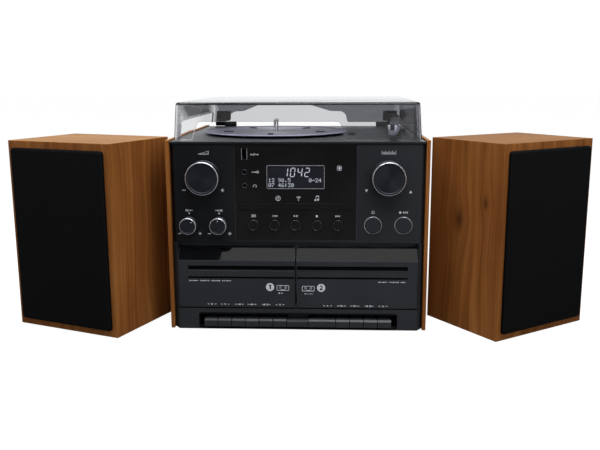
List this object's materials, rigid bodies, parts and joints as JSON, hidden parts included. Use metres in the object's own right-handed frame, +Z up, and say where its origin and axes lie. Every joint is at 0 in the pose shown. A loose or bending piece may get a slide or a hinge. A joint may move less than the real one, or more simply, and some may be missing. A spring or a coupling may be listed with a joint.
{
  "type": "stereo music centre",
  "caption": "Tabletop stereo music centre: record player under a smoked cover, tuner display, disc tray, twin cassette doors with piano keys, and a pair of wooden speakers.",
  "frame": {"origin": "on the surface that the set stands on, below the middle of the set's outer box", "axes": "+X to the right seen from the front, +Y from the front panel to the rear panel, +Z up"},
  "size_m": [0.7921, 0.3916, 0.309],
  "materials": {
    "wood_veneer": "satin walnut veneer",
    "black_satin": "satin moulded",
    "black_gloss": "polished",
    "charcoal": "fine texture",
    "deck_grey": "satin",
    "smoked_clear": "smoked clear acrylic",
    "display_glass": "display",
    "bright_metal": "polished",
    "zinc_steel": "zinc plated",
    "dark_steel": "blackened",
    "board_green": "solder mask",
    "knob_black": "satin, spun face",
    "platter_grey": "satin",
    "brass": "turned",
    "rubber_black": "matt",
    "grille_cloth": "woven",
    "cone_black": "paper cone",
    "pale_plastic": "satin"
  },
  "bodies": {
    "root": {"base_tray": "black_satin", "side_panels": "wood_veneer", "rear_panel": "black_satin", "turntable_deck": "deck_grey", "control_fascia": "black_satin", "display_window": "black_gloss", "lcd_module": "display_glass", "front_sockets": "zinc_steel", "cassette_frame": "charcoal", "rubber_feet": "rubber_black", "case_screws": "dark_steel", "circuit_boards": "board_green", "transformer": "zinc_steel", "rear_sockets": "black_satin", "cd_mechanism": "dark_steel", "cassette_mechanism": "zinc_steel", "turntable_motor": "zinc_steel", "drive_belt": "rubber_black", "hinge_bases": "black_satin", "tonearm_base": "black_satin", "speaker_cabinet_left": "wood_veneer", "speaker_cabinet_right": "wood_veneer", "grille_left": "grille_cloth", "grille_right": "grille_cloth", "speaker_drivers": "cone_black"},
    "cover": {"dust_cover": "smoked_clear", "cover_hinges": "black_satin"},
    "platter": {"platter": "platter_grey", "spindle": "bright_metal"},
    "pulley": {"motor_pulley": "brass"},
    "arm_yoke": {"tonearm_yoke": "black_satin"},
    "arm": {"tonearm": "black_satin", "cartridge": "pale_plastic"},
    "lift_lever": {"lift_lever": "black_gloss"},
    "speed_lever": {"speed_lever": "black_gloss"},
    "knob_volume": {"knob_volume": "knob_black"},
    "knob_tuning": {"knob_tuning": "knob_black"},
    "knob_bass": {"knob_bass": "knob_black"},
    "knob_treble": {"knob_treble": "knob_black"},
    "cd_tray": {"cd_tray": "black_gloss"},
    "door_left": {"cassette_door_left": "charcoal"},
    "door_right": {"cassette_door_right": "charcoal"},
    "button_power": {"button_power": "knob_black"},
    "button_record": {"button_record": "knob_black"},
    "button_menu": {"button_menu": "knob_black"},
    "button_previous": {"button_previous": "knob_black"},
    "button_play": {"button_play": "knob_black"},
    "button_stop": {"button_stop": "knob_black"},
    "button_next": {"button_next": "knob_black"},
    "key_left_1": {"key_left_1": "black_gloss"},
    "key_left_2": {"key_left_2": "black_gloss"},
    "key_left_3": {"key_left_3": "black_gloss"},
    "key_left_4": {"key_left_4": "black_gloss"},
    "key_left_5": {"key_left_5": "black_gloss"},
    "key_left_6": {"key_left_6": "black_gloss"},
    "key_right_1": {"key_right_1": "black_gloss"},
    "key_right_2": {"key_right_2": "black_gloss"},
    "key_right_3": {"key_right_3": "black_gloss"},
    "key_right_4": {"key_right_4": "black_gloss"},
    "key_right_5": {"key_right_5": "black_gloss"}
  },
  "joints": [
    {"name": "cover_hinge", "type": "hinge", "parent": "root", "child": "cover", "pos_m": [-0.003, 0.1874, 0.2625], "axis": [-1, 0, 0], "range_deg": [0, 75]},
    {"name": "platter_spin", "type": "hinge", "parent": "root", "child": "platter", "pos_m": [-0.0417, 0.0073, 0.258], "axis": [0, 0, 1], "continuous": true},
    {"name": "pulley_spin", "type": "hinge", "parent": "root", "child": "pulley", "pos_m": [-0.0912, 0.0568, 0.2516], "axis": [0, 0, 1], "continuous": true},
    {"name": "arm_swing", "type": "hinge", "parent": "root", "child": "arm_yoke", "pos_m": [0.144, 0.07513, 0.258], "axis": [0, 0, -1], "range_deg": [0, 46]},
    {"name": "arm_lift", "type": "hinge", "parent": "arm_yoke", "child": "arm", "pos_m": [0.144, 0.07513, 0.27625], "axis": [-0.9956, 0.0941, 0], "range_deg": [0, 6]},
    {"name": "lift_lever_turn", "type": "hinge", "parent": "root", "child": "lift_lever", "pos_m": [0.148, 0.013, 0.262], "axis": [-1, 0, 0], "range_deg": [0, 50]},
    {"name": "speed_select", "type": "slide", "parent": "root", "child": "speed_lever", "axis": [0, 1, 0], "range_m": [0, 0.01]},
    {"name": "volume_turn", "type": "hinge", "parent": "root", "child": "knob_volume", "pos_m": [-0.128, -0.143, 0.2105], "axis": [0, -1, 0], "continuous": true},
    {"name": "tuning_turn", "type": "hinge", "parent": "root", "child": "knob_tuning", "pos_m": [0.118, -0.143, 0.2105], "axis": [0, -1, 0], "continuous": true},
    {"name": "bass_turn", "type": "hinge", "parent": "root", "child": "knob_bass", "pos_m": [-0.149, -0.143, 0.1462], "axis": [0, -1, 0], "range_deg": [-140, 140]},
    {"name": "treble_turn", "type": "hinge", "parent": "root", "child": "knob_treble", "pos_m": [-0.1085, -0.143, 0.1462], "axis": [0, -1, 0], "range_deg": [-140, 140]},
    {"name": "tray_slide", "type": "slide", "parent": "root", "child": "cd_tray", "axis": [0, -1, 0], "range_m": [0, 0.13]},
    {"name": "door_left_tilt", "type": "hinge", "parent": "root", "child": "door_left", "pos_m": [-0.003, -0.145, 0.0345], "axis": [1, 0, 0], "range_deg": [0, 25]},
    {"name": "door_right_tilt", "type": "hinge", "parent": "root", "child": "door_right", "pos_m": [-0.003, -0.145, 0.0345], "axis": [1, 0, 0], "range_deg": [0, 25]},
    {"name": "power_press", "type": "slide", "parent": "root", "child": "button_power", "axis": [0, 1, 0], "range_m": [0, 0.0012], "stiffness_N_per_m": 800, "springref_m": -0.0005},
    {"name": "record_press", "type": "slide", "parent": "root", "child": "button_record", "axis": [0, 1, 0], "range_m": [0, 0.0012], "stiffness_N_per_m": 800, "springref_m": -0.0005},
    {"name": "menu_press", "type": "slide", "parent": "root", "child": "button_menu", "axis": [0, 1, 0], "range_m": [0, 0.0012], "stiffness_N_per_m": 800, "springref_m": -0.0005},
    {"name": "previous_press", "type": "slide", "parent": "root", "child": "button_previous", "axis": [0, 1, 0], "range_m": [0, 0.0012], "stiffness_N_per_m": 800, "springref_m": -0.0005},
    {"name": "play_press", "type": "slide", "parent": "root", "child": "button_play", "axis": [0, 1, 0], "range_m": [0, 0.0012], "stiffness_N_per_m": 800, "springref_m": -0.0005},
    {"name": "stop_press", "type": "slide", "parent": "root", "child": "button_stop", "axis": [0, 1, 0], "range_m": [0, 0.0012], "stiffness_N_per_m": 800, "springref_m": -0.0005},
    {"name": "next_press", "type": "slide", "parent": "root", "child": "button_next", "axis": [0, 1, 0], "range_m": [0, 0.0012], "stiffness_N_per_m": 800, "springref_m": -0.0005},
    {"name": "key_left_1_press", "type": "hinge", "parent": "root", "child": "key_left_1", "pos_m": [-0.003, -0.102, 0.0135], "axis": [1, 0, 0], "range_deg": [0, 4], "stiffness_Nm_per_rad": 1.5, "springref_deg": -2.29},
    {"name": "key_left_2_press", "type": "hinge", "parent": "root", "child": "key_left_2", "pos_m": [-0.003, -0.102, 0.0135], "axis": [1, 0, 0], "range_deg": [0, 4], "stiffness_Nm_per_rad": 1.5, "springref_deg": -2.29},
    {"name": "key_left_3_press", "type": "hinge", "parent": "root", "child": "key_left_3", "pos_m": [-0.003, -0.102, 0.0135], "axis": [1, 0, 0], "range_deg": [0, 4], "stiffness_Nm_per_rad": 1.5, "springref_deg": -2.29},
    {"name": "key_left_4_press", "type": "hinge", "parent": "root", "child": "key_left_4", "pos_m": [-0.003, -0.102, 0.0135], "axis": [1, 0, 0], "range_deg": [0, 4], "stiffness_Nm_per_rad": 1.5, "springref_deg": -2.29},
    {"name": "key_left_5_press", "type": "hinge", "parent": "root", "child": "key_left_5", "pos_m": [-0.003, -0.102, 0.0135], "axis": [1, 0, 0], "range_deg": [0, 4], "stiffness_Nm_per_rad": 1.5, "springref_deg": -2.29},
    {"name": "key_left_6_press", "type": "hinge", "parent": "root", "child": "key_left_6", "pos_m": [-0.003, -0.102, 0.0135], "axis": [1, 0, 0], "range_deg": [0, 4], "stiffness_Nm_per_rad": 1.5, "springref_deg": -2.29},
    {"name": "key_right_1_press", "type": "hinge", "parent": "root", "child": "key_right_1", "pos_m": [-0.003, -0.102, 0.0135], "axis": [1, 0, 0], "range_deg": [0, 4], "stiffness_Nm_per_rad": 1.5, "springref_deg": -2.29},
    {"name": "key_right_2_press", "type": "hinge", "parent": "root", "child": "key_right_2", "pos_m": [-0.003, -0.102, 0.0135], "axis": [1, 0, 0], "range_deg": [0, 4], "stiffness_Nm_per_rad": 1.5, "springref_deg": -2.29},
    {"name": "key_right_3_press", "type": "hinge", "parent": "root", "child": "key_right_3", "pos_m": [-0.003, -0.102, 0.0135], "axis": [1, 0, 0], "range_deg": [0, 4], "stiffness_Nm_per_rad": 1.5, "springref_deg": -2.29},
    {"name": "key_right_4_press", "type": "hinge", "parent": "root", "child": "key_right_4", "pos_m": [-0.003, -0.102, 0.0135], "axis": [1, 0, 0], "range_deg": [0, 4], "stiffness_Nm_per_rad": 1.5, "springref_deg": -2.29},
    {"name": "key_right_5_press", "type": "hinge", "parent": "root", "child": "key_right_5", "pos_m": [-0.003, -0.102, 0.0135], "axis": [1, 0, 0], "range_deg": [0, 4], "stiffness_Nm_per_rad": 1.5, "springref_deg": -2.29}
  ],
  "couplings": [
    {"joint": "pulley_spin", "follows": "platter_spin", "ratio": 7.6667}
  ]
}
